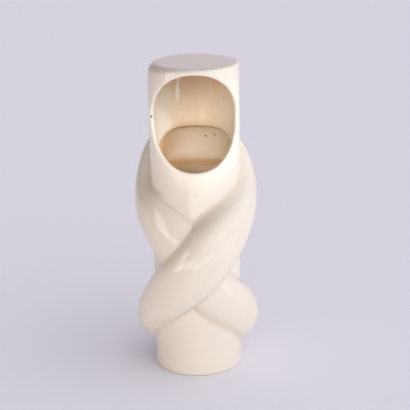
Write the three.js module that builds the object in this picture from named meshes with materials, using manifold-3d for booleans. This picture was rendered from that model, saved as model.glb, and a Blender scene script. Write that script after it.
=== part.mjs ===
// Knot vase: an upright ceramic cylinder with a hollow strand of clay knotted twice round it.
// Millimetres, +Z up, the front towards -Y. The origin is the middle of the underside.

import * as THREE from 'three';
import { mergeVertices } from 'three/addons/utils/BufferGeometryUtils.js';
import Module from 'manifold-3d';

const wasm = await Module();
wasm.setup();

// Trunk, the upright cylinder
const trunkHeight = 300;
const trunkRadius = 42;
const wallThickness = 3.5;
const topEdgeRadius = 2.9;
const baseEdgeRadius = 1.5;

// Discs that close the trunk's two ends
const crownThickness = 3.5;
const floorThickness = 6;

// Line of slip between one clay member and the next
const slipJoint = 0.3;

// Mouth, cut square to the front wall, a little fuller in its corners than an ellipse. Its middle
// lies mouthDrop below the top, and its half angle is measured from the front to one side.
const mouthDrop = 50;
const mouthHalfHeight = 45.8;
const mouthHalfAngle = 71;
const mouthSquareness = 2.2;

// Strand, two turns round the trunk. Its section in an upright plane is an ellipse: strandDepth is
// the half width, and each station gives the height of its middle, how far it stands proud of the
// trunk, and its half height. Stations are an eighth of a turn apart. They start at the middle of
// the back and go by the right side, the front and the left side.
const strandDepth = 26;
const strandWall = 3.5;
const strandStations = [
  // First turn, down the right side and over the crossing in front
  { height: 211, proud: 20, halfHeight: 25 },
  { height: 203, proud: 19, halfHeight: 29.5 },
  { height: 173.5, proud: 15.5, halfHeight: 33.5 },
  { height: 144.5, proud: 17.5, halfHeight: 37.5 },
  { height: 116, proud: 23.5, halfHeight: 39 },
  { height: 83.5, proud: 17, halfHeight: 36 },
  { height: 51, proud: 17, halfHeight: 29 },
  { height: 38, proud: 18, halfHeight: 28 },
  // Second turn, low round the back, under the crossing and up the left side
  { height: 38, proud: 18.5, halfHeight: 26.5 },
  { height: 38, proud: 18, halfHeight: 28 },
  { height: 50, proud: 17, halfHeight: 32.5 },
  { height: 72.5, proud: 9.5, halfHeight: 38.5 },
  { height: 110, proud: 11, halfHeight: 52 },
  { height: 142.5, proud: 11.5, halfHeight: 41.5 },
  { height: 165.5, proud: 15.5, halfHeight: 28.5 },
  { height: 205.5, proud: 21, halfHeight: 27.5 },
];

// Slip smoothed into the crease where the strand leaves the trunk
const creaseFillet = 4;

// Windows in the trunk's wall that open the strand's hollow to the inside. The one at the back shows
// through the mouth: it keeps shoulderWindowInset inside the strand's outline, down to a level sill.
// The other three are plain vents. Spans are half angles, and ventOffset is measured from the front.
const shoulderWindowSpan = 84;
const shoulderWindowInset = 5.5;
const shoulderSillHeight = 191;
const ventSpan = 20;
const ventHalfHeight = 12;
const ventOffset = 58;
const windowSquareness = 4;
const windowTip = 0.05;

// How far the hollow is cut past the two ends of a member of the strand, as an angle
const hollowOverrun = 4;

// Fineness of the round surfaces
const roundSegments = 60;
const edgeSegments = 3;
const strandSteps = 24;
const arcSteps = 6;
const filletSteps = 3;
const windowSteps = 16;
const mouthSteps = 48;
const lipSteps = 4;

// Colours of the glaze outside, and of the bare clay of the floor
const glazeColour = '#ece4d6';
const clayColour = '#d9c6a8';

const trunkInnerRadius = trunkRadius - wallThickness;
const strandRootRadius = trunkInnerRadius - wallThickness;
const mouthHeight = trunkHeight - mouthDrop;
const turn = 360;
const front = turn / 2;
const rightSide = turn / 4;
const leftSide = 3 * turn / 4;
const strandLength = 2 * turn;

function radians(degrees) {
  return THREE.MathUtils.degToRad(degrees);
}

// A point at a distance from the axis. The angle is 0 at the back, 90 on the right and 180 in front.
function aroundAxis(radius, angle, height) {
  const a = radians(angle);
  return new THREE.Vector3(radius * Math.sin(a), radius * Math.cos(a), height);
}

function toSolid(geometry) {
  const bare = geometry.clone();
  bare.deleteAttribute('normal');
  bare.deleteAttribute('uv');
  const merged = mergeVertices(bare);
  return new wasm.Manifold(new wasm.Mesh({
    numProp: 3,
    vertProperties: merged.attributes.position.array,
    triVerts: new Uint32Array(merged.index.array),
  }));
}

function toGeometry(solid) {
  const mesh = solid.getMesh();
  const geometry = new THREE.BufferGeometry();
  geometry.setAttribute('position', new THREE.BufferAttribute(mesh.vertProperties, 3));
  geometry.setIndex(new THREE.BufferAttribute(mesh.triVerts, 1));
  geometry.computeVertexNormals();
  return geometry;
}

// Closed body through a row of rings with the same number of points. The rings run
// counter-clockwise seen from the last one, and flatten() lays a ring out flat for its end cap.
function loft(rings, flatten) {
  const count = rings[0].length;
  const index = [];
  for (let i = 0; i + 1 < rings.length; i++) {
    for (let j = 0; j < count; j++) {
      const a = i * count + j;
      const b = i * count + (j + 1) % count;
      index.push(a, b, b + count, a, b + count, a + count);
    }
  }
  const lastRing = (rings.length - 1) * count;
  for (const [a, b, c] of THREE.ShapeUtils.triangulateShape(rings[0].map(flatten), [])) {
    index.push(c, b, a);
  }
  for (const [a, b, c] of THREE.ShapeUtils.triangulateShape(rings.at(-1).map(flatten), [])) {
    index.push(a + lastRing, b + lastRing, c + lastRing);
  }
  const geometry = new THREE.BufferGeometry().setFromPoints(rings.flat());
  geometry.setIndex(index);
  return toSolid(geometry);
}

function flattenUpright(point) {
  return new THREE.Vector2(Math.hypot(point.x, point.y), point.z);
}

function flattenFront(point) {
  return new THREE.Vector2(point.x, point.z);
}

// Solid of revolution round the upright axis, from a closed outline of [radius, height] pairs
function revolve(outline) {
  const points = outline.map(([radius, height]) => new THREE.Vector2(radius, height));
  const geometry = new THREE.LatheGeometry([...points, points[0].clone()], roundSegments);
  geometry.rotateX(Math.PI / 2);
  return toSolid(geometry);
}

function disc(radius, bottom, thickness) {
  const geometry = new THREE.CylinderGeometry(radius, radius, thickness, roundSegments);
  geometry.rotateX(Math.PI / 2);
  geometry.translate(0, 0, bottom + thickness / 2);
  return geometry;
}

// Quarter of a rounded edge, as [radius, height] pairs
function edgeArc(centreRadius, centreHeight, edgeRadius, startDegrees) {
  const arc = [];
  for (let i = 0; i <= edgeSegments; i++) {
    const a = radians(startDegrees + 90 * i / edgeSegments);
    arc.push([centreRadius + edgeRadius * Math.cos(a), centreHeight + edgeRadius * Math.sin(a)]);
  }
  return arc;
}

// The strand's measures at an angle along its two turns
const strandCurve = new THREE.CatmullRomCurve3(
  strandStations.map((s) => new THREE.Vector3(trunkRadius + s.proud, s.halfHeight, s.height)),
  true,
  'catmullrom',
);

function strandAt(angle) {
  const along = THREE.MathUtils.euclideanModulo(angle, strandLength) / strandLength;
  const measures = strandCurve.getPoint(along);
  return { reach: measures.x, halfHeight: measures.y, height: measures.z };
}

// How much the smoothed slip stands off the strand at a distance from the axis
function filletRise(radius, fillet) {
  const rest = Math.max(0, fillet - Math.max(0, radius - trunkRadius));
  return fillet - Math.sqrt(fillet ** 2 - rest ** 2);
}

// One ring of the strand at an angle along it: its section grown by a margin, or shrunk by a
// negative one, and closed by a straight line inside the trunk
function strandRing(angle, station, margin, fillet) {
  const depth = strandDepth + margin;
  const centre = station.reach - strandDepth;
  const arcEndRadius = fillet > 0 ? trunkRadius + fillet : strandRootRadius;
  const arcEnd = Math.acos((arcEndRadius - centre) / depth);
  const radii = [];
  for (let i = 0; i <= arcSteps; i++) {
    radii.push(centre + depth * Math.cos(arcEnd * i / arcSteps));
  }
  if (fillet > 0) {
    for (let i = 1; i <= filletSteps; i++) {
      radii.push(trunkRadius + fillet * (1 - i / filletSteps) ** 2);
    }
    radii.push(strandRootRadius);
  }
  const half = radii.map((radius) => {
    const across = THREE.MathUtils.clamp((radius - centre) / depth, -1, 1);
    const rise = (station.halfHeight + margin) * Math.sqrt(1 - across ** 2);
    return [radius, rise + filletRise(radius, fillet)];
  });
  const upper = half.map(([radius, rise]) => aroundAxis(radius, angle, station.height + rise));
  const lower = half.slice(1).map(([radius, rise]) => aroundAxis(radius, angle, station.height - rise));
  return [...lower.reverse(), ...upper];
}

// A stretch of the strand between two angles, as one solid body
function strandBody(start, end, margin, fillet = 0) {
  const rings = [];
  for (let i = 0; i <= strandSteps; i++) {
    const angle = start + (end - start) * i / strandSteps;
    rings.push(strandRing(angle, strandAt(angle), margin, fillet));
  }
  return loft(rings, flattenUpright);
}

// Plain cylinder that the strand is cut by, so that it seats on the trunk
function trunkClearance() {
  return toSolid(disc(trunkRadius + slipJoint, 0, trunkHeight));
}

// A hollow member of the strand, open towards the trunk and at both ends
function strandShell(start, end) {
  const jointAngle = THREE.MathUtils.radToDeg(slipJoint / trunkRadius) / 2;
  return strandBody(start + jointAngle, end - jointAngle, 0, creaseFillet)
    .subtract(strandBody(start - hollowOverrun, end + hollowOverrun, -strandWall))
    .subtract(trunkClearance());
}

// Window through the trunk's wall along the strand's middle, with round ends. halfHeightAt() gives
// its half height at an angle.
function windowBody(middle, span, halfHeightAt) {
  const rings = [];
  for (let i = 0; i <= windowSteps; i++) {
    const along = Math.sin(Math.PI * (i / windowSteps - 0.5));
    const angle = middle + span * along;
    const fullness = (1 - Math.abs(along) ** windowSquareness) ** (1 / windowSquareness);
    const rise = halfHeightAt(angle) * Math.max(windowTip, fullness);
    const { height } = strandAt(angle);
    rings.push([
      aroundAxis(strandRootRadius, angle, height - rise),
      aroundAxis(trunkRadius + wallThickness, angle, height - rise),
      aroundAxis(trunkRadius + wallThickness, angle, height + rise),
      aroundAxis(strandRootRadius, angle, height + rise),
    ]);
  }
  return loft(rings, flattenUpright);
}

function shoulderWindow() {
  const belowSill = toSolid(disc(trunkRadius + 2 * wallThickness, 0, shoulderSillHeight));
  const halfHeightAt = (angle) => strandAt(angle).halfHeight - shoulderWindowInset;
  return windowBody(strandLength, shoulderWindowSpan, halfHeightAt).subtract(belowSill);
}

function vent(middle) {
  return windowBody(middle, ventSpan, () => ventHalfHeight);
}

// Ring of the mouth's outline at a distance from the axis, widened by a flare
function mouthRing(radius, flare) {
  const corner = 2 / mouthSquareness;
  const ring = [];
  for (let j = 0; j < mouthSteps; j++) {
    const a = 2 * Math.PI * j / mouthSteps;
    const across = Math.sign(Math.cos(a)) * Math.abs(Math.cos(a)) ** corner;
    const up = Math.sign(Math.sin(a)) * Math.abs(Math.sin(a)) ** corner;
    const swing = Math.asin(Math.sin(radians(mouthHalfAngle)) * across) + flare / trunkRadius * across;
    const height = mouthHeight + (mouthHalfHeight + flare) * up;
    ring.push(aroundAxis(radius, front - THREE.MathUtils.radToDeg(swing), height));
  }
  return ring;
}

// The mouth's cut-out, narrowest in the middle of the wall so that its lip is fully rounded. A flat
// ring at each end carries it clear of the wall.
function mouthBody() {
  const lip = wallThickness / 2;
  const rings = [];
  for (let i = 0; i <= lipSteps; i++) {
    const a = Math.PI * (i / lipSteps - 0.5);
    rings.push(mouthRing(trunkRadius - lip + lip * Math.sin(a), lip * (1 - Math.cos(a))));
  }
  const narrowing = strandRootRadius / trunkInnerRadius;
  const inside = rings[0].map((point) => new THREE.Vector3(point.x * narrowing, 0, point.z));
  const outside = rings.at(-1).map((point) => new THREE.Vector3(point.x, -2 * trunkRadius, point.z));
  return loft([inside, ...rings, outside], flattenFront);
}

function makeTrunk() {
  const wall = revolve([
    [trunkInnerRadius, 0],
    ...edgeArc(trunkRadius - baseEdgeRadius, baseEdgeRadius, baseEdgeRadius, -90),
    ...edgeArc(trunkRadius - topEdgeRadius, trunkHeight - topEdgeRadius, topEdgeRadius, 0),
    [trunkInnerRadius, trunkHeight],
  ]);
  return toGeometry(wall
    .subtract(mouthBody())
    .subtract(shoulderWindow())
    .subtract(vent(front - ventOffset))
    .subtract(vent(turn + front + ventOffset))
    .subtract(vent(turn)));
}

function makeCrownDisc() {
  return disc(trunkInnerRadius - slipJoint, trunkHeight - crownThickness, crownThickness);
}

function makeFloorDisc() {
  return disc(trunkInnerRadius - slipJoint, 0, floorThickness);
}

// The arm that passes over, notched to sit astride the arm that passes under
function makeOverArm() {
  const underArm = strandBody(turn + rightSide, turn + leftSide, slipJoint, creaseFillet);
  return toGeometry(strandShell(rightSide, leftSide).subtract(underArm));
}

function makeUnderArm() {
  return toGeometry(strandShell(turn + rightSide, turn + leftSide));
}

// The bend round the back that is level with the vase's shoulder, above the crossing
function makeShoulderBend() {
  return toGeometry(strandShell(turn + leftSide, strandLength + rightSide));
}

// The bend round the back just above the foot
function makeHipBend() {
  return toGeometry(strandShell(leftSide, turn + rightSide));
}

function glaze() {
  return new THREE.MeshStandardMaterial({ color: glazeColour, roughness: 0.12, metalness: 0 });
}

function bareClay() {
  return new THREE.MeshStandardMaterial({ color: clayColour, roughness: 0.85, metalness: 0 });
}

const vase = new THREE.Group();
const members = [
  ['trunk', makeTrunk, glaze],
  ['crown_disc', makeCrownDisc, glaze],
  ['floor_disc', makeFloorDisc, bareClay],
  ['over_arm', makeOverArm, glaze],
  ['under_arm', makeUnderArm, glaze],
  ['shoulder_bend', makeShoulderBend, glaze],
  ['hip_bend', makeHipBend, glaze],
];
for (const [name, makeGeometry, makeMaterial] of members) {
  const mesh = new THREE.Mesh(makeGeometry(), makeMaterial());
  mesh.name = name;
  vase.add(mesh);
}

export default vase;
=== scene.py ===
# Knot vase: the looks of its glazed body, inside and out, and of the bare clay that it stands on.
# The scene is in metres. The sizes here are in millimetres unless a comment says otherwise.
# +Z is up and the front faces -Y. An angle round the vase is 0 at the back, 90 on the right and 180
# in front, and the strand is followed by an angle too, over its two turns.
import functools
import math

import bmesh
import bpy
import numpy as np
from mathutils import Euler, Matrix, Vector


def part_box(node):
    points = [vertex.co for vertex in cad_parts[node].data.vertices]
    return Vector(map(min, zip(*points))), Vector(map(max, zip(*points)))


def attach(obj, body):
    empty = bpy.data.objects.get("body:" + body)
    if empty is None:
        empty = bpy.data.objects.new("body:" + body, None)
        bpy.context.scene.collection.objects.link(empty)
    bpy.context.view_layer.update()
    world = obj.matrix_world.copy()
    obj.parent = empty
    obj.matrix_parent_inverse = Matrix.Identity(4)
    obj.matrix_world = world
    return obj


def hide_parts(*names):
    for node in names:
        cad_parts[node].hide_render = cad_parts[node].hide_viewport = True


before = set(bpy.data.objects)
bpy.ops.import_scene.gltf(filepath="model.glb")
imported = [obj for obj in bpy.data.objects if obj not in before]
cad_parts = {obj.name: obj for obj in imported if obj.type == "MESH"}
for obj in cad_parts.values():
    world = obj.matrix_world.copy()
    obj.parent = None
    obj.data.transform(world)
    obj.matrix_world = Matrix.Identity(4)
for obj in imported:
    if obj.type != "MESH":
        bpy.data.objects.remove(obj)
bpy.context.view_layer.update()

MM = 0.001
TURN = 360
FRONT = 180

# Sizes that the frame gives
TRUNK_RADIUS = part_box("trunk")[1].x / MM
TRUNK_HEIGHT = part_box("trunk")[1].z / MM
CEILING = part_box("crown_disc")[0].z / MM
FLOOR_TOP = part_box("floor_disc")[1].z / MM

# Trunk
WALL = 3.5
BORE_RADIUS = TRUNK_RADIUS - WALL
TOP_EDGE = 3
# how much fuller the crown's edge is on the left
LEFT_TOP_EDGE = 6
BASE_EDGE = 1.5
# how much the thrown wall stands out from its nominal radius, by height
WALL_SWELL = [(0, 0.6), (30, 0.25), (120, 0), (205, 0.45), (300, 0.45)]

# Mouth
MOUTH_HEIGHT = TRUNK_HEIGHT - 50.55
MOUTH_HALF_HEIGHT = 45.25
MOUTH_HALF_ANGLE = 73.5
# half of its width, as a share of the wall's radius
MOUTH_HALF_WIDTH = math.sin(math.radians(MOUTH_HALF_ANGLE))
MOUTH_SQUARENESS = 2.2
LIP = WALL / 2
# how far the lip's inner half stays under the ceiling
LIP_UNDER_CEILING = 0.3

# Strand, by stations an eighth of a turn apart, from the middle of the back and round by the right
STRAND_DEPTH = 26
STRAND_WALL = 3.5
STRAND_LENGTH = 2 * TURN
# the power of its section's curve, which is 2 on an ellipse
SIDE_FULLNESS = 2
FRONT_FULLNESS = 2.4
STATIONS = [
    # height of the middle, how far it stands proud of the trunk, half height
    (211, 20, 25),
    (203, 19, 29.5),
    (173, 16.4, 33),
    (144.5, 17.5, 37.5),
    (116, 23.5, 39),
    (83.5, 17, 36),
    (50.5, 17.8, 28.5),
    (38, 18, 28),
    (38, 18.5, 26.5),
    (38, 18, 28),
    (49.5, 17.6, 32),
    (72.5, 9.5, 38.5),
    (110, 11, 52),
    (142.5, 11.5, 41.5),
    (165, 16.1, 28),
    (205.5, 21, 27.5),
]

# Slip and glaze in the creases, as the reach of the smoothing. In front it is wider over the first turn,
# unless the first turn lies on the second there. A span is where the one turns to the other: in height
# over the turn's middle, and in how far the second turn stands proud of the trunk.
FILLET = 3
UPPER_FILLET = 9
UPPER_SPAN = (-12, 12)
CROSSING_SPAN = (-1, 2)
CREASE_REACH = 7

# The glaze is wiped off the foot up to BARE_FOOT. On the floor's upper side it starts between these two
# heights.
BARE_FOOT = 0.3
FLOOR_GLAZE_RISE = (FLOOR_TOP - 1, FLOOR_TOP - 0.5)

# Window in the back wall that opens the shoulder bend's hollow to the inside. Its top edge, the ridge,
# falls away by WINDOW_FALL at WINDOW_SHOULDER degrees from its middle. The wall turns in over WINDOW_EDGE,
# and WINDOW_DEPTH is the share of the hollow's depth that is drawn.
WINDOW_MIDDLE = 4
WINDOW_TOP = 229.8
WINDOW_SILL = 191
WINDOW_FALL = 10.5
WINDOW_CURVE = 3.5
WINDOW_SHOULDER = 62
WINDOW_DEPTH = 0.65
WINDOW_EDGE = 3.5

# Painted brown shade on the inside, where shade falls: along the window's ridge, under its overhang, less
# on the right, along its sill, where glaze also pools in the trough, under the ceiling, and in the hollow,
# less on the right. At the window it ends WINDOW_REACH degrees from the back and fades over WINDOW_FADE
# before that. Here and below, two numbers are where one state turns to the other: a side in degrees from
# the back, less than zero on the left, a rise in height, and a roof or an edge in height over the ridge.
WINDOW_REACH = 84
WINDOW_FADE = 12
RIDGE_LINE = -1.5
RIDGE_BAND = 5
RIGHT_RIDGE_BROWN = 0.4
RIDGE_BROWN_SIDE = (-10, 40)
SILL_LINE = 1
SILL_BAND = 2.5
TOP_BROWN = 0.7
TOP_BROWN_RISE = (244, 290)
TOP_BROWN_SIDE = (-75, -20)
HOLLOW_BROWN = 0.55
RIGHT_HOLLOW_BROWN = 0.22
HOLLOW_BROWN_SIDE = (10, -40)
HOLLOW_BROWN_ROOF = (0, -6)

# How far the inside turns from cream to tan, from 0 to 1, partly its own colour and partly painted light
# and shade. Over the ridge it is cream on the left, where the light falls, and tanner at the back, on the
# right and near the ceiling, where shade falls. Under the ridge it is tan in the hollow and below the
# sill.
BACK_TAN = 0.9
BACK_SIDE = (-58, -10)
RIGHT_TAN = 0.35
RIGHT_SIDE = (15, 60)
TOP_TAN = 0.9
TOP_RISE = (255, 292)
TOP_SIDE = (-80, -20)
HOLLOW_TAN = 0.6
LEFT_HOLLOW_TAN = 1
LEFT_HOLLOW_SIDE = (-5, -45)
BOTTOM_TAN = 0.95
BOTTOM_RISE = (WINDOW_SILL + 6, WINDOW_SILL)
HOLLOW_EDGE = (-4, 4)

# Mesh of the body. The rows between the base and the top of the knot are spaced along the wall's
# own profile, closer where it bends, and each radian of bend counts as BEND_LENGTH more of it.
COLUMNS = 248
KNOT_TOP = 244
KNOT_ROWS = 272
UPPER_ROWS = 26
BEND_LENGTH = 4
PROFILE_SAMPLES = 800
BASE_EDGE_ROWS = 4
TOP_EDGE_ROWS = 8
CROWN_RINGS = (32, 23, 12, 0)
# The search for the body's outside halves its range this often, down to 0.0005
HALVINGS = 16
# Rows of the lining: up to just below the window, past it, and on up to the ceiling and its rings
WINDOW_BOTTOM_ROW = WINDOW_SILL - 6
WINDOW_TOP_ROW = KNOT_TOP - 4
LOWER_LINING_ROWS = 12
WINDOW_ROWS = 60
UPPER_LINING_ROWS = 19
CEILING_RINGS = (BORE_RADIUS, BORE_RADIUS - 1, 26, 13, 0)
# The mouth's cut. Only verts in front of MOUTH_FORWARD and above MOUTH_BOTTOM are tried against its
# outline. The cut's edge, and the belt that is smoothed beside it, lie within these shares of the
# mouth's size. The cut ends over the ceiling's level outside and under it in the lining, whose edge
# starts LINING_SETBACK outside the lip.
MOUTH_FORWARD = -1
MOUTH_BOTTOM = KNOT_TOP - 44
EDGE_SHARE = 1.2
BELT_SHARE = 1.15
OUTER_CUT_TOP = CEILING + 1
LINING_CUT_TOP = CEILING - 0.2
LINING_SETBACK = 1.2
PLACE_PASSES = 4
EVENING_PASSES = 12
SMOOTHING_PASSES = 6
LIP_STEPS = 8
TOLERANCE = 0.01

# Glaze: its slow clouds of colour and its waves, both a little wider than a finger
CLOUD_SIZE = 30
WAVE_LENGTH = 24
WAVE_HEIGHT = 0.25
# Iron specks: their spacing and size, the share of places that have none, how strong the others get, and
# how much of that is left where the glaze is cream, not tan
SPECK_SPACING = 7
SPECK_SIZE = 0.9
SPECKLESS_SHARE = 0.45
SPECK_STRENGTH = 0.6
CREAM_SPECK_SHARE = 0.04
# How strong the painted brown shade gets in the creases and along the window, partly glaze that pools
POOL_AND_SHADE_STRENGTH = 0.7
PINHOLE_DEPTH = 0.5
PINHOLES = [
    # angle, radius, height and width
    (12.2, 50.9, 215.9, 1.5),
    (22.8, 50.2, 217.9, 1.4),
    (253.6, 41.2, 251.3, 1.7),
    (48.4, 38.5, 259.6, 0.9),
    (179.7, 42.3, 184.6, 0.6),
    (158.1, 60.1, 108.6, 0.6),
]
# A run of thicker glaze down the inside, under the ceiling, painted pale as a highlight: angle, radius,
# height, width and length of its bead and of its tail
RUN_HIGHLIGHTS = [
    (336.2, 38.5, 263.5, 4, 14),
    (337.4, 38.5, 274, 1.8, 22),
]
RUN_HEIGHT = 0.5
# A pinhole or a run fades out between these shares of its width from its middle
SPOT_CORE = 0.35
SPOT_EDGE = 0.75
# Clay and paper grain, drawn a few times coarser than the real ones so that they show
GRAIN_SIZE = 1.2
GRAIN_DEPTH = 0.1
TOOTH_SIZE = 2
# Half of the paper floor's width
PAPER_HALF_WIDTH = 8000

# Sockets of the Mix node when it mixes colours
COLOUR_A = 6
COLOUR_B = 7
COLOUR_RESULT = 2


def around_axis(radius, angle, height):
    """A point at an angle round the vase, in degrees."""
    a = math.radians(angle)
    return Vector((radius * math.sin(a), radius * math.cos(a), height))


def smooth_step(start, end, value):
    """0 before the start and 1 after the end, on a smooth curve. The end may be less than the start."""
    t = np.clip((value - start) / (end - start), 0, 1)
    return t * t * (3 - 2 * t)


def between(a, b, share):
    """A value that is a share of the way from one to the other."""
    return a + (b - a) * share


@functools.lru_cache(maxsize=None)
def strand_at(turned):
    """Height of the middle, how far proud, and half height, on a smooth curve through the stations."""
    place = turned % STRAND_LENGTH / STRAND_LENGTH * len(STATIONS)
    first = int(place)
    t = place - first
    a, b, c, d = (np.array(STATIONS[(first + i) % len(STATIONS)], float) for i in (-1, 0, 1, 2))
    return (2 * b + (c - a) * t
            + (2 * a - 5 * b + 4 * c - d) * t ** 2
            + (3 * b - a - 3 * c + d) * t ** 3) / 2


def front_share(angle):
    """1 in the middle of the front, 0 from the sides to the back."""
    return max(0, -math.cos(math.radians(angle)))


def strand_gap(radius, angle, height):
    """How far a point is outside the strand's surface, less than zero inside it. The section is an
    ellipse, in front filled out at its corners, and leaves the trunk at the ellipse's own heights."""
    middle, proud, half_height = strand_at(angle)
    power = between(SIDE_FULLNESS, FRONT_FULLNESS, front_share(angle))
    sunk = abs(STRAND_DEPTH - proud) / STRAND_DEPTH
    half_height = half_height * (1 - sunk ** 2) ** 0.5 / (1 - sunk ** power) ** (1 / power)
    across = np.abs(radius - (TRUNK_RADIUS + proud - STRAND_DEPTH)) / STRAND_DEPTH
    up = np.abs(height - middle) / half_height
    level = (across ** power + up ** power) ** (1 / power)
    slopes = across ** (power - 1) / STRAND_DEPTH, up ** (power - 1) / half_height
    return (level - 1) / (np.hypot(*slopes) / level ** (power - 1))


def soft_union(a, b, fillet):
    """The union of two gaps with the crease between them filled."""
    near = np.maximum(fillet - np.abs(a - b), 0) / fillet
    return np.minimum(a, b) - near ** 2 * fillet / 4


def trunk_radius(height):
    return TRUNK_RADIUS + np.interp(height, *zip(*WALL_SWELL))


def member_gaps(radius, angle, height):
    """How far a point is outside the trunk, the strand's second turn and its first turn."""
    trunk = radius - trunk_radius(height)
    return trunk, strand_gap(radius, angle + TURN, height), strand_gap(radius, angle, height)


def body_gap(radius, angle, height):
    """How far a point is outside the body: the trunk, the second turn on it, and the first over both."""
    trunk, second, first = member_gaps(radius, angle, height)
    over_middle = smooth_step(*UPPER_SPAN, height - strand_at(angle)[0])
    on_trunk = between(FILLET, UPPER_FILLET, over_middle * front_share(angle))
    on_second = smooth_step(*CROSSING_SPAN, trunk - second)
    return soft_union(soft_union(trunk, second, FILLET), first, between(on_trunk, FILLET, on_second))


def creased(angle, radius, height):
    """Painted shade, partly pooled glaze, at points of the outside: 1 in a crease's bottom, 0 away from it.
    """
    gaps = np.sort(member_gaps(radius, angle, height), axis=0)
    return np.maximum(0, 1 - (gaps[1] - gaps[0]) / CREASE_REACH) ** 2


def body_radius(angle, height):
    """Radius of the body's outside, found by halving the space between the trunk and well outside."""
    low = np.full_like(height, TRUNK_RADIUS)
    high = low + STRAND_DEPTH + WALL
    for _ in range(HALVINGS):
        middle = (low + high) / 2
        outside = body_gap(middle, angle, height) > 0
        low, high = np.where(outside, low, middle), np.where(outside, middle, high)
    return (low + high) / 2


def even_heights(radius_at, angle, low, high, rows):
    """Heights of the rows of one column, evenly along its profile and closer where it bends."""
    heights = np.linspace(low, high, PROFILE_SAMPLES)
    radii = radius_at(angle, heights)
    slant = np.arctan2(np.diff(radii), np.diff(heights))
    bend = np.abs(np.diff(slant, prepend=slant[:1]))
    step = np.hypot(np.diff(radii), np.diff(heights)) + BEND_LENGTH * bend
    along = np.concatenate([[0], np.cumsum(step)])
    return np.interp(np.linspace(0, along[-1], rows + 1), along, heights)


def edge_arc(radius, height, edge, start, steps):
    """A quarter of a rounded edge, as pairs of radius and height, from a start in degrees."""
    turns = [math.radians(start + 90 * i / steps) for i in range(steps + 1)]
    return [(radius + edge * math.cos(a), height + edge * math.sin(a)) for a in turns]


def wall_rows(radius_at, angle, low, high, rows):
    """Rows of one column on a wall, as pairs of radius and height."""
    heights = even_heights(radius_at, angle, low, high, rows)
    return list(zip(radius_at(angle, heights), heights))


def top_edge(angle):
    """Radius of the crown's rounded edge, which is fuller on the left."""
    return TOP_EDGE + LEFT_TOP_EDGE * max(0, -math.sin(math.radians(angle))) ** 2


def outer_wall(height):
    """Radius of the plain trunk's outside, with the crown's rounded edge."""
    over = max(0, height - TRUNK_HEIGHT + TOP_EDGE)
    return trunk_radius(height) - TOP_EDGE + math.sqrt(max(0, TOP_EDGE ** 2 - over ** 2))


def bore_wall(height):
    return BORE_RADIUS


def lip_wall(share, height):
    """Radius of the lip at a share of the way from the trunk's outside to its bore."""
    return between(outer_wall(height), BORE_RADIUS, share)


def outside_profile(angle):
    """One column of the outside, from the foot's inner edge up the wall to the middle of the crown."""
    foot = edge_arc(trunk_radius(0) - BASE_EDGE, BASE_EDGE, BASE_EDGE, -90, BASE_EDGE_ROWS)
    knot = wall_rows(body_radius, angle, BASE_EDGE, KNOT_TOP, KNOT_ROWS)
    edge = top_edge(angle)
    shoulder = TRUNK_HEIGHT - edge
    upper = [(trunk_radius(height), height) for height in np.linspace(KNOT_TOP, shoulder, UPPER_ROWS + 1)]
    rim = edge_arc(trunk_radius(TRUNK_HEIGHT) - edge, shoulder, edge, 0, TOP_EDGE_ROWS)
    crown = [(radius, TRUNK_HEIGHT) for radius in CROWN_RINGS]
    return [(BORE_RADIUS, 0)] + foot[:-1] + knot[:-1] + upper[:-1] + rim + crown


def ridge_height(aside):
    """Height of the window's top edge, which falls away towards the shoulders."""
    return WINDOW_TOP - WINDOW_FALL * (abs(aside - WINDOW_MIDDLE) / WINDOW_SHOULDER) ** WINDOW_CURVE


def lining_radius(angle, height):
    """Radius of the inside wall, with the shoulder bend's hollow let in through its window."""
    aside = from_back(angle)
    middle, proud, half_height = strand_at(float(aside))
    rise = half_height - STRAND_WALL
    level = np.clip((height - middle) / rise, -1, 1)
    hollow = TRUNK_RADIUS + proud - STRAND_DEPTH + (STRAND_DEPTH - STRAND_WALL) * np.sqrt(1 - level ** 2)
    under_top = smooth_step(0, WINDOW_EDGE, ridge_height(aside) - height)
    over_sill = smooth_step(0, WINDOW_EDGE, height - WINDOW_SILL)
    return BORE_RADIUS + np.maximum(0, hollow - BORE_RADIUS) * WINDOW_DEPTH * under_top * over_sill


def from_back(angle):
    """An angle measured from the back, less than zero on the left."""
    return (angle + TURN / 2) % TURN - TURN / 2


def outside_paint(angle, radius, height):
    """Painted shade in the creases, partly pooled glaze, and no tan, at points of the outside."""
    return creased(angle, radius, height), np.zeros_like(height)


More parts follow.
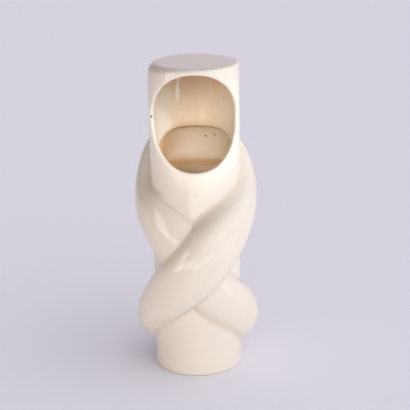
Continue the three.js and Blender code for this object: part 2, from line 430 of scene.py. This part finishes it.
def inside_paint(angle, radius, height):
    """Painted brown shade, and the tan share, partly painted light and shade, at points of the inside."""
    aside = from_back(angle)
    over_ridge = height - ridge_height(aside)
    near_window = smooth_step(0, WINDOW_FADE, WINDOW_REACH - abs(aside))
    # Painted brown shade: under the ridge's overhang, along the sill, where glaze also pools, and in the
    # hollow
    ridge = np.exp(-((over_ridge - RIDGE_LINE) / RIDGE_BAND) ** 2)
    ridge = ridge * between(1, RIGHT_RIDGE_BROWN, smooth_step(*RIDGE_BROWN_SIDE, aside))
    sill = np.exp(-((height - WINDOW_SILL - SILL_LINE) / SILL_BAND) ** 2)
    top = TOP_BROWN * smooth_step(*TOP_BROWN_RISE, height) * smooth_step(*TOP_BROWN_SIDE, aside)
    hollow = between(RIGHT_HOLLOW_BROWN, HOLLOW_BROWN, smooth_step(*HOLLOW_BROWN_SIDE, aside))
    hollow = hollow * near_window * smooth_step(*HOLLOW_BROWN_ROOF, over_ridge)
    pool_and_shade = np.maximum(near_window * np.maximum(ridge, sill), top + hollow)

    # Tan share, partly painted light and shade: cream on the lit left wall, tan where shade falls
    above = between(0, BACK_TAN, smooth_step(*BACK_SIDE, aside))
    above = between(above, RIGHT_TAN, smooth_step(*RIGHT_SIDE, aside))
    above = between(above, TOP_TAN, smooth_step(*TOP_RISE, height) * smooth_step(*TOP_SIDE, aside))
    below = between(HOLLOW_TAN, LEFT_HOLLOW_TAN, smooth_step(*LEFT_HOLLOW_SIDE, aside))
    below = between(below, BOTTOM_TAN, smooth_step(*BOTTOM_RISE, height))
    tan_and_shade = between(below, above, smooth_step(*HOLLOW_EDGE, over_ridge))
    return pool_and_shade, tan_and_shade


def inside_profile(angle):
    """One column of the inside, from the foot's inner edge up the bore to the middle of the ceiling."""
    lower = [(BORE_RADIUS, height) for height in np.linspace(0, WINDOW_BOTTOM_ROW, LOWER_LINING_ROWS + 1)]
    window = wall_rows(lining_radius, angle, WINDOW_BOTTOM_ROW, WINDOW_TOP_ROW, WINDOW_ROWS)
    heights = np.linspace(WINDOW_TOP_ROW, CEILING - 1, UPPER_LINING_ROWS + 1)
    upper = [(BORE_RADIUS, height) for height in heights]
    ceiling = [(radius, CEILING) for radius in CEILING_RINGS]
    return lower[:-1] + window[:-1] + upper + ceiling


def signed_power(value, power):
    return math.copysign(abs(value) ** power, value)


def mouth_point(place, wall, flare):
    """A point on the mouth's outline, widened by a flare, on a wall given by its radius at a height. The
    place goes from 0 to a full turn."""
    across = signed_power(math.cos(place), 2 / MOUTH_SQUARENESS)
    up = signed_power(math.sin(place), 2 / MOUTH_SQUARENESS)
    swing = math.asin(MOUTH_HALF_WIDTH * across) + flare / TRUNK_RADIUS * across
    height = MOUTH_HEIGHT + (MOUTH_HALF_HEIGHT + flare) * up
    if wall(height) < BORE_RADIUS + LIP - TOLERANCE:
        height = min(height, CEILING - LIP_UNDER_CEILING)
    return around_axis(wall(height), FRONT - math.degrees(swing), height)


def mouth_place(point, flare):
    """Where a point of the front is seen from the mouth's middle: its place on the outline, and its
    fullness, which is 1 on the outline and less inside."""
    swing = math.atan2(point.x, -point.y)
    across = 0
    for _ in range(PLACE_PASSES):
        across = math.sin(swing - flare / TRUNK_RADIUS * across) / MOUTH_HALF_WIDTH
    up = (point.z - MOUTH_HEIGHT) / (MOUTH_HALF_HEIGHT + flare)
    sides = [signed_power(value, MOUTH_SQUARENESS / 2) for value in (across, up)]
    return math.atan2(sides[1], sides[0]), math.hypot(*sides) ** (2 / MOUTH_SQUARENESS)


def roll_sheet(bm, profile_at, paint_at):
    """A flat grid rolled round the axis and pressed to its profiles, column by column. Each vert keeps
    its painted shade, partly pooled glaze, and its tan share, partly painted light and shade."""
    known = set(bm.verts)
    pool_and_shade = bm.verts.layers.float["pool_and_shade"]
    tan_and_shade = bm.verts.layers.float["tan_and_shade"]
    angles = [TURN * column / COLUMNS for column in range(COLUMNS)]
    profiles = [profile_at(angle) for angle in angles]
    paints = [paint_at(angle, *np.array(profile).T) for angle, profile in zip(angles, profiles)]
    last_row = len(profiles[0]) - 1
    bmesh.ops.create_grid(bm, x_segments=COLUMNS, y_segments=last_row, size=1)
    sheet = [vert for vert in bm.verts if vert not in known]
    for vert in sheet:
        column = round((vert.co.x + 1) / 2 * COLUMNS)
        row = round((vert.co.y + 1) / 2 * last_row)
        radius, height = profiles[column % COLUMNS][row]
        vert.co = around_axis(radius, TURN * column / COLUMNS, height)
        vert[pool_and_shade], vert[tan_and_shade] = (values[row] for values in paints[column % COLUMNS])
    bmesh.ops.remove_doubles(bm, verts=sheet, dist=0.0001)
    return [vert for vert in bm.verts if vert not in known]


def open_mouth(bm, sheet, wall, flare, top):
    """Cuts the mouth out of a sheet, no higher than its top row, and draws the edge onto the outline.
    Returns the places of the edge's verts, and its edges."""
    fullness = {}
    for vert in sheet:
        in_front = vert.co.y < MOUTH_FORWARD and vert.co.z > MOUTH_BOTTOM
        fullness[vert] = mouth_place(vert.co, flare)[1] if in_front else math.inf
    inside = [vert for vert in sheet if fullness[vert] < 1 and vert.co.z < top]
    cut = {face for vert in inside for face in vert.link_faces}
    bmesh.ops.delete(bm, geom=list(cut), context="FACES")
    sheet = [vert for vert in sheet if vert.is_valid]
    beside = [vert for vert in sheet if fullness[vert] < EDGE_SHARE]
    edges = {edge for vert in beside for edge in vert.link_edges if edge.is_boundary}
    rim = {vert for edge in edges for vert in edge.verts}
    places = {vert: mouth_place(vert.co, flare)[0] for vert in rim}
    for _ in range(EVENING_PASSES):
        places = {vert: evened(vert, places) for vert in rim}
    for vert in rim:
        vert.co = mouth_point(places[vert], wall, flare)
    belt = [vert for vert in sheet if fullness[vert] < BELT_SHARE and vert not in rim and vert.co.z < top]
    for _ in range(SMOOTHING_PASSES):
        bmesh.ops.smooth_vert(bm, verts=belt, factor=0.5, use_axis_x=True, use_axis_y=True, use_axis_z=True)
        for vert in belt:
            out = Vector((vert.co.x, vert.co.y)).normalized() * wall(vert.co.z)
            vert.co = (out.x, out.y, vert.co.z)
    return places, list(edges)


def evened(vert, places):
    """A place on the outline midway between those of the two neighbours on the edge."""
    sides = [edge.other_vert(vert) for edge in vert.link_edges if edge.is_boundary]
    ways = [Vector((math.cos(places[side]), math.sin(places[side]))) for side in sides]
    middle = sum(ways, Vector((0, 0)))
    return math.atan2(middle.y, middle.x)


def round_lip(bm, places, edges):
    """Carries the mouth's outer edge round the lip to the inside wall. Returns the last edges."""
    tan_and_shade = bm.verts.layers.float["tan_and_shade"]
    for step in range(1, LIP_STEPS + 1):
        a = math.pi * step / LIP_STEPS
        share = (1 - math.cos(a)) / 2
        wall = functools.partial(lip_wall, share)
        made = bmesh.ops.extrude_edge_only(bm, edges=edges)["geom"]
        new = [item for item in made if isinstance(item, bmesh.types.BMVert)]
        carried = {}
        for vert in new:
            others = [edge.other_vert(vert) for edge in vert.link_edges]
            carried[vert] = next(places[other] for other in others if other in places)
            vert.co = mouth_point(carried[vert], wall, LIP * (1 - math.sin(a)))
            angle = math.degrees(math.atan2(vert.co.x, vert.co.y))
            # The lip takes the inside's tan share, partly painted light and shade
            vert[tan_and_shade] = share ** 2 * inside_paint(angle, BORE_RADIUS, vert.co.z)[1]
        places = carried
        edges = [item for item in made if isinstance(item, bmesh.types.BMEdge)
                 and all(vert in places for vert in item.verts)]
    return edges


def link_object(name, data):
    item = bpy.data.objects.new(name, data)
    bpy.context.collection.objects.link(item)
    return item


def link_mesh(name, bm):
    mesh = bpy.data.meshes.new(name)
    bm.to_mesh(mesh)
    bm.free()
    return link_object(name, mesh)


def make_body():
    """One closed skin: the outside and the lining, which meet round the mouth's lip and at the foot."""
    bm = bmesh.new()
    bm.verts.layers.float.new("pool_and_shade")
    bm.verts.layers.float.new("tan_and_shade")
    outside = roll_sheet(bm, outside_profile, outside_paint)
    inside = roll_sheet(bm, inside_profile, inside_paint)
    outer_places, outer_edges = open_mouth(bm, outside, outer_wall, flare=LIP, top=OUTER_CUT_TOP)
    inner_edges = open_mouth(bm, inside, bore_wall, flare=LIP + LINING_SETBACK, top=LINING_CUT_TOP)[1]
    lip_edges = round_lip(bm, outer_places, outer_edges)
    bmesh.ops.bridge_loops(bm, edges=lip_edges + inner_edges)
    bmesh.ops.remove_doubles(bm, verts=bm.verts, dist=0.001)
    bmesh.ops.recalc_face_normals(bm, faces=bm.faces)
    for face in bm.faces:
        face.smooth = True
        face.material_index = int(all(vert.co.z < BARE_FOOT for vert in face.verts))
    bmesh.ops.scale(bm, vec=(MM, MM, MM), verts=bm.verts)
    piece = link_mesh("glazed_body", bm)
    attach(piece, "root")
    return piece


def hex_colour(code):
    """A linear colour from an sRGB hex value."""
    shares = [int(code[i:i + 2], 16) / 255 for i in (1, 3, 5)]
    return [s / 12.92 if s <= 0.04045 else ((s + 0.055) / 1.055) ** 2.4 for s in shares] + [1]


def add_node(tree, kind, settings=(), links=()):
    """Adds a node. Settings go to its own fields or to its sockets, and links feed its sockets."""
    node = tree.nodes.new(kind)
    for name, value in dict(settings).items():
        if isinstance(name, str) and hasattr(node, name) and name not in node.inputs:
            setattr(node, name, value)
        else:
            node.inputs[name].default_value = value
    for name, source in dict(links).items():
        tree.links.new(source, node.inputs[name])
    return node


def new_material(name):
    material = bpy.data.materials.new(name)
    material.use_nodes = True
    tree = material.node_tree
    tree.nodes.clear()
    return material, tree


def spots_on(tree, place, spots):
    """1 on spots of the glaze and 0 off them. Each has an angle, radius, height, width and length."""
    total = None
    for angle, radius, height, width, length in spots:
        squeeze = Vector((1, 1, width / length))
        squeezed = add_node(tree, "ShaderNodeVectorMath", {
            "operation": "MULTIPLY", 1: squeeze,
        }, {0: place}).outputs["Vector"]
        far = add_node(tree, "ShaderNodeVectorMath", {
            "operation": "DISTANCE", 1: around_axis(radius, angle, height) * squeeze * MM,
        }, {0: squeezed}).outputs["Value"]
        spot = add_node(tree, "ShaderNodeMapRange", {
            "From Min": SPOT_CORE * width * MM, "From Max": SPOT_EDGE * width * MM, "To Min": 1, "To Max": 0,
        }, {"Value": far}).outputs["Result"]
        if total:
            spot = add_node(tree, "ShaderNodeMath", {
                "operation": "MAXIMUM",
            }, {0: total, 1: spot}).outputs["Value"]
        total = spot
    return total


def iron_specks(tree, place, tan_and_shade):
    """How much iron specks show: some more than others, and hardly any where the glaze is cream, not tan."""
    specks = add_node(tree, "ShaderNodeTexVoronoi", {
        "Scale": 1 / (SPECK_SPACING * MM),
    }, {"Vector": place})
    dots = add_node(tree, "ShaderNodeMapRange", {
        "From Min": 0.5 * SPECK_SIZE / SPECK_SPACING, "From Max": SPECK_SIZE / SPECK_SPACING,
        "To Min": 1, "To Max": 0,
    }, {"Value": specks.outputs["Distance"]}).outputs["Result"]
    chances = add_node(tree, "ShaderNodeSeparateColor", links={"Color": specks.outputs["Color"]})
    chosen = add_node(tree, "ShaderNodeMapRange", {
        "From Min": SPECKLESS_SHARE, "From Max": 1, "To Max": SPECK_STRENGTH,
    }, {"Value": chances.outputs["Red"]}).outputs["Result"]
    shown = add_node(tree, "ShaderNodeMapRange", {
        "To Min": CREAM_SPECK_SHARE,
    }, {"Value": tan_and_shade}).outputs["Result"]
    dots = add_node(tree, "ShaderNodeMath", {"operation": "MULTIPLY"}, {0: dots, 1: chosen}).outputs["Value"]
    return add_node(tree, "ShaderNodeMath", {"operation": "MULTIPLY"}, {0: dots, 1: shown}).outputs["Value"]


def glaze_colour(tree, clouds, tan_and_shade):
    """Cream and tan by the tan share, which is partly painted light and shade, clouded a little, and
    browner with painted shade in the creases and along the window, partly glaze that pools there."""
    cream = add_node(tree, "ShaderNodeMix", {
        "data_type": "RGBA", COLOUR_A: hex_colour("#e8e1d4"), COLOUR_B: hex_colour("#e5dcce"),
    }, {"Factor": clouds}).outputs[COLOUR_RESULT]
    tan = add_node(tree, "ShaderNodeMix", {
        "data_type": "RGBA", COLOUR_A: hex_colour("#edd6b4"), COLOUR_B: hex_colour("#eacfa9"),
    }, {"Factor": clouds}).outputs[COLOUR_RESULT]
    skin = add_node(tree, "ShaderNodeMix", {
        "data_type": "RGBA",
    }, {"Factor": tan_and_shade, COLOUR_A: cream, COLOUR_B: tan}).outputs[COLOUR_RESULT]
    # Painted brown shade for the creases and the window's edges, partly glaze that pools there
    shade_brown = add_node(tree, "ShaderNodeMix", {
        "data_type": "RGBA", COLOUR_A: hex_colour("#dccfb9"), COLOUR_B: hex_colour("#c48b49"),
    }, {"Factor": tan_and_shade}).outputs[COLOUR_RESULT]
    pool_and_shade = add_node(tree, "ShaderNodeAttribute", {"attribute_name": "pool_and_shade"}).outputs["Fac"]
    depth = add_node(tree, "ShaderNodeMapRange", {
        "To Max": POOL_AND_SHADE_STRENGTH,
    }, {"Value": pool_and_shade}).outputs["Result"]
    return add_node(tree, "ShaderNodeMix", {
        "data_type": "RGBA",
    }, {"Factor": depth, COLOUR_A: skin, COLOUR_B: shade_brown}).outputs[COLOUR_RESULT]


# Stoneware dipped in a glossy cream glaze: a smooth glassy skin with slow waves from the hand and the
# brush, a little warmer and darker in the creases, partly glaze that pools there and partly painted shade.
# Inside it is tan, partly its own colour and partly painted light and shade: cream on the lit left wall,
# tan at the back, under the ceiling and in the hollow, and painted brown shade along the window's edges.
# A run of thicker glaze hangs down the inside, painted pale as a highlight, and iron specks and a few
# burst bubbles show as brown dots.
def dipped_cream_glaze():
    material, tree = new_material("dipped_cream_glaze")
    place = add_node(tree, "ShaderNodeTexCoord").outputs["Object"]
    tan_and_shade = add_node(tree, "ShaderNodeAttribute", {"attribute_name": "tan_and_shade"}).outputs["Fac"]
    clouds = add_node(tree, "ShaderNodeTexNoise", {
        "Scale": 1 / (CLOUD_SIZE * MM), "Detail": 3, "Roughness": 0.55,
    }, {"Vector": place}).outputs["Fac"]
    # The run is raised glaze, painted pale as a highlight on it
    run_highlight = spots_on(tree, place, RUN_HIGHLIGHTS)
    holes = spots_on(tree, place, [(*pinhole, pinhole[-1]) for pinhole in PINHOLES])

    colour = glaze_colour(tree, clouds, tan_and_shade)
    marks = [(iron_specks(tree, place, tan_and_shade), "#7d5a35"), (run_highlight, "#fbf1e6"), (holes, "#2a1a0e")]
    for mark, code in marks:
        colour = add_node(tree, "ShaderNodeMix", {
            "data_type": "RGBA", COLOUR_B: hex_colour(code),
        }, {"Factor": mark, COLOUR_A: colour}).outputs[COLOUR_RESULT]
    roughness = add_node(tree, "ShaderNodeMapRange", {
        "From Min": 0.3, "From Max": 0.7, "To Min": 0.08, "To Max": 0.13,
    }, {"Value": clouds}).outputs["Result"]

    waves = add_node(tree, "ShaderNodeTexNoise", {
        "Scale": 1 / (WAVE_LENGTH * MM), "Detail": 1,
    }, {"Vector": place}).outputs["Fac"]
    waved = add_node(tree, "ShaderNodeBump", {
        "Strength": 1, "Distance": WAVE_HEIGHT * MM,
    }, {"Height": waves}).outputs["Normal"]
    pitted = add_node(tree, "ShaderNodeBump", {
        "invert": True, "Distance": PINHOLE_DEPTH * MM,
    }, {"Height": holes, "Normal": waved}).outputs["Normal"]
    raised = add_node(tree, "ShaderNodeBump", {
        "Distance": RUN_HEIGHT * MM,
    }, {"Height": run_highlight, "Normal": pitted}).outputs["Normal"]
    shader = add_node(tree, "ShaderNodeBsdfPrincipled", {
        "IOR": 1.6,
    }, {"Base Color": colour, "Roughness": roughness, "Normal": raised})
    add_node(tree, "ShaderNodeOutputMaterial", links={"Surface": shader.outputs["BSDF"]})
    return material


# Buff stoneware left bare and wiped with a damp sponge: matt, with a fine sandy grain. The slab's upper
# side is inside the vase, under the poured glaze.
def wiped_bare_stoneware():
    material, tree = new_material("wiped_bare_stoneware")
    place = add_node(tree, "ShaderNodeTexCoord").outputs["Object"]
    grain = add_node(tree, "ShaderNodeTexNoise", {
        "Scale": 1 / (GRAIN_SIZE * MM), "Detail": 4, "Roughness": 0.7,
    }, {"Vector": place}).outputs["Fac"]
    clay = add_node(tree, "ShaderNodeMix", {
        "data_type": "RGBA", COLOUR_A: hex_colour("#d8c6aa"), COLOUR_B: hex_colour("#bfa684"),
    }, {"Factor": grain}).outputs[COLOUR_RESULT]
    height = add_node(tree, "ShaderNodeSeparateXYZ", links={"Vector": place}).outputs["Z"]
    glazed = add_node(tree, "ShaderNodeMapRange", {
        "From Min": FLOOR_GLAZE_RISE[0] * MM, "From Max": FLOOR_GLAZE_RISE[1] * MM,
    }, {"Value": height}).outputs["Result"]
    colour = add_node(tree, "ShaderNodeMix", {
        "data_type": "RGBA", COLOUR_B: hex_colour("#f3e5c8"),
    }, {"Factor": glazed, COLOUR_A: clay}).outputs[COLOUR_RESULT]
    roughness = add_node(tree, "ShaderNodeMapRange", {
        "To Min": 0.85, "To Max": 0.12,
    }, {"Value": glazed}).outputs["Result"]
    sandy = add_node(tree, "ShaderNodeBump", {
        "Strength": 0.5, "Distance": GRAIN_DEPTH * MM,
    }, {"Height": grain}).outputs["Normal"]
    shader = add_node(tree, "ShaderNodeBsdfPrincipled", links={
        "Base Color": colour, "Roughness": roughness, "Normal": sandy,
    })
    add_node(tree, "ShaderNodeOutputMaterial", links={"Surface": shader.outputs["BSDF"]})
    return material


# Matt coloured paper off a wide roll: pale lavender with a barely visible tooth
def seamless_paper():
    material, tree = new_material("seamless_paper")
    place = add_node(tree, "ShaderNodeTexCoord").outputs["Object"]
    tooth = add_node(tree, "ShaderNodeTexNoise", {
        "Scale": 1 / (TOOTH_SIZE * MM), "Detail": 3,
    }, {"Vector": place}).outputs["Fac"]
    colour = add_node(tree, "ShaderNodeMix", {
        "data_type": "RGBA", COLOUR_A: hex_colour("#e9e8f2"), COLOUR_B: hex_colour("#e6e5ef"),
    }, {"Factor": tooth}).outputs[COLOUR_RESULT]
    shader = add_node(tree, "ShaderNodeBsdfPrincipled", {
        "Roughness": 0.9,
        "Specular IOR Level": 0.1,
    }, {"Base Color": colour})
    add_node(tree, "ShaderNodeOutputMaterial", links={"Surface": shader.outputs["BSDF"]})
    return material


def make_floor():
    bm = bmesh.new()
    bmesh.ops.create_grid(bm, x_segments=1, y_segments=1, size=PAPER_HALF_WIDTH * MM)
    floor = link_mesh("paper_floor", bm)
    floor.data.materials.append(seamless_paper())


# Light of the studio. Directions are an angle from the front towards the right and a height, in degrees,
# and lengths are in metres. The room's light is a sum of wide lobes: direction, sharpness, strength and
# colour of each.
ROOM_LOBES = [
    (0, 5, 5, 0.15, "#fff6f2"),
    (45, 5, 5, 1.4, "#fcfdff"),
    (90, 5, 5, 0.66, "#fcfdff"),
    (135, 5, 5, 0.26, "#fff6fa"),
    (180, 5, 5, 0.7, "#fdedfb"),
    (60, 45, 4, 0.12, "#fff0f8"),
]
# Upright softboxes that face the vase: direction, distance, width, lower and upper edge, radiance,
# colour, and whether they only glint in the glaze or only light the vase
SOFTBOXES = [
    ("key_strip", 47, 1.0, 0.2, 0.01, 0.45, 3.4, "#fffefa", False),
    ("fill_softbox", -42, 0.5, 0.5, 0.01, 0.2, 3.1, "#ffecda", False),
    ("leaf_glint", -60, 0.8, 0.34, 0.02, 0.42, 1.9, "#ffffff", True),
    ("left_glint", -36, 0.5, 0.39, 0.05, 0.12, 1.3, "#ffffff", True),
    ("streak_glint", 47, 1.0, 0.16, 0.02, 0.2, 6.0, "#ffffff", True),
]
# Cards that glow on the floor beside the vase: place, width, depth, radiance, and whether they only
# glint
CARDS = [
    ("right_card", (0.45, -0.08), 0.4, 0.45, 1.3, False),
    ("right_glint", (0.575, -0.25), 0.55, 0.4, 1.2, True),
    ("front_glint", (0.17, -0.56), 0.66, 0.2, 1.8, True),
]
CARD_HEIGHT = 0.004
# Softboxes above, which only light the vase: direction, distance, width, depth and radiance. They face
# a place on its axis.
TOP_BOXES = [
    ("top_strip", 50, 34, 1.2, 0.5, 0.1, 2.5),
    ("front_fill", 0, 32, 1.2, 0.45, 0.35, 0.3),
]
TOP_BOX_TARGET = Vector((0, 0, 0.2))
# A row of small snooted lamps that shine into the mouth: direction and watts of each, and then their
# height and spread in degrees, their distance, their radius, and how far below the mouth's middle they
# aim, in millimetres
SNOOTS = [(-20, 15), (-6, 15), (8, 7), (22, 6), (36, 8), (52, 24)]
SNOOT_HEIGHT = 20
SNOOT_SPREAD = 4.4
SNOOT_DISTANCE = 1.2
SNOOT_RADIUS = 0.03
SNOOT_DROP = 20
# The paper's own light: its strength, and how wide the sky is that it comes from, in degrees
PAPER_LIGHT = 1.0
PAPER_LIGHT_WIDTH = 120


def toward(angle, height):
    """A direction from the vase, by its angle from the front and its height in degrees."""
    a, up = math.radians(angle), math.radians(height)
    return Vector((math.sin(a) * math.cos(up), -math.cos(a) * math.cos(up), math.sin(up)))


def aim(lamp, place, target):
    lamp.location = place
    lamp.rotation_euler = (target - place).to_track_quat("-Z", "Y").to_euler()


def add_softbox(name, place, target, width, height, radiance, colour="#ffffff", glints=False):
    light = bpy.data.lights.new(name, "AREA")
    light.shape = "RECTANGLE"
    light.size = width
    light.size_y = height
    light.energy = radiance * math.pi * width * height
    light.color = hex_colour(colour)[:3]
    lamp = link_object(name, light)
    aim(lamp, place, target)
    lamp.visible_camera = False
    lamp.visible_glossy = glints
    lamp.visible_diffuse = not glints
    return lamp


def add_snoot(angle, watts):
    spot = bpy.data.lights.new("snoot", "SPOT")
    spot.energy = watts
    spot.spot_size = math.radians(SNOOT_SPREAD)
    spot.spot_blend = 1
    spot.shadow_soft_size = SNOOT_RADIUS
    lamp = link_object("snoot", spot)
    target = Vector((0, 0, MOUTH_HEIGHT - SNOOT_DROP)) * MM
    aim(lamp, toward(angle, SNOOT_HEIGHT) * SNOOT_DISTANCE + target, target)
    lamp.visible_glossy = False
    return lamp


def light_vase():
    """The lights that are masked off the paper."""
    lamps = []
    for name, angle, distance, width, low, high, radiance, colour, glints in SOFTBOXES:
        target = Vector((0, 0, (low + high) / 2))
        place = toward(angle, 0) * distance + target
        lamps.append(add_softbox(name, place, target, width, high - low, radiance, colour, glints))
    for name, (x, y), width, depth, radiance, glints in CARDS:
        place = Vector((x, y, CARD_HEIGHT))
        overhead = Vector((x, y, 1))
        lamps.append(add_softbox(name, place, overhead, width, depth, radiance, glints=glints))
    for name, angle, height, distance, width, depth, radiance in TOP_BOXES:
        place = toward(angle, height) * distance + TOP_BOX_TARGET
        lamps.append(add_softbox(name, place, TOP_BOX_TARGET, width, depth, radiance))
    lamps += [add_snoot(*snoot) for snoot in SNOOTS]
    vase = [piece for piece in bpy.data.objects if piece.type == "MESH" and piece.name != "paper_floor"]
    light_only(lamps, "lit_by_softboxes", vase)


def light_paper():
    """The paper's own light, straight down."""
    sun = bpy.data.lights.new("paper_light", "SUN")
    sun.energy = PAPER_LIGHT
    sun.angle = math.radians(PAPER_LIGHT_WIDTH)
    lamp = link_object("paper_light", sun)
    light_only([lamp], "lit_by_paper_light", [bpy.data.objects["paper_floor"]])


def light_only(lamps, name, pieces):
    """Keeps the light of some lamps to some pieces."""
    lit = bpy.data.collections.new(name)
    for piece in pieces:
        lit.objects.link(piece)
    for lamp in lamps:
        lamp.light_linking.receiver_collection = lit


def room_light():
    world = bpy.data.worlds.new("studio")
    bpy.context.scene.world = world
    world.use_nodes = True
    tree = world.node_tree
    way = add_node(tree, "ShaderNodeTexCoord").outputs["Generated"]
    total = None
    for angle, height, sharpness, strength, colour in ROOM_LOBES:
        facing = add_node(tree, "ShaderNodeVectorMath", {
            "operation": "DOT_PRODUCT", 1: toward(angle, height),
        }, {0: way}).outputs["Value"]
        share = add_node(tree, "ShaderNodeMapRange", {"From Min": -1}, {"Value": facing}).outputs["Result"]
        lobe = add_node(tree, "ShaderNodeMath", {
            "operation": "POWER", 1: sharpness,
        }, {0: share}).outputs["Value"]
        tint = [part * strength for part in hex_colour(colour)[:3]]
        scaled = add_node(tree, "ShaderNodeVectorMath", {
            "operation": "MULTIPLY_ADD", 1: tint,
        }, {0: lobe})
        if total:
            tree.links.new(total, scaled.inputs[2])
        total = scaled.outputs["Vector"]
    tree.links.new(total, tree.nodes["Background"].inputs["Color"])


def light_studio():
    room_light()
    light_vase()
    light_paper()
    bpy.context.scene.view_settings.view_transform = "Standard"


# Camera: the photograph's own view, fitted to the trunk's outline, in metres, degrees and pixels, and
# the sensor in millimetres
CAMERA_PLACE = (0, -0.99295, 0.48830)
CAMERA_PITCH = -18.277
CAMERA_ROLL = -0.959
CAMERA_YAW = 0.502
FOCAL_PIXELS = 1088.26
PHOTO_PIXELS = 410
SENSOR_WIDTH = 36


def aim_camera():
    camera = bpy.data.cameras.new("photo_view")
    camera.sensor_width = SENSOR_WIDTH
    camera.lens = FOCAL_PIXELS / PHOTO_PIXELS * SENSOR_WIDTH
    holder = link_object("photo_view", camera)
    holder.location = CAMERA_PLACE
    pitch, yaw, roll = (math.radians(a) for a in (CAMERA_PITCH, CAMERA_YAW, CAMERA_ROLL))
    upright = Euler((math.pi / 2 + pitch, 0, -yaw), "XYZ").to_matrix()
    tilt = Euler((0, 0, roll), "XYZ").to_matrix()
    holder.rotation_euler = (upright @ tilt).to_euler()
    bpy.context.scene.camera = holder


body = make_body()
clay = wiped_bare_stoneware()
body.data.materials.append(dipped_cream_glaze())
body.data.materials.append(clay)
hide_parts("trunk", "crown_disc", "over_arm", "under_arm", "shoulder_bend", "hip_bend")
floor_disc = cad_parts["floor_disc"]
floor_disc.data.materials.clear()
floor_disc.data.materials.append(clay)

make_floor()
light_studio()
aim_camera()
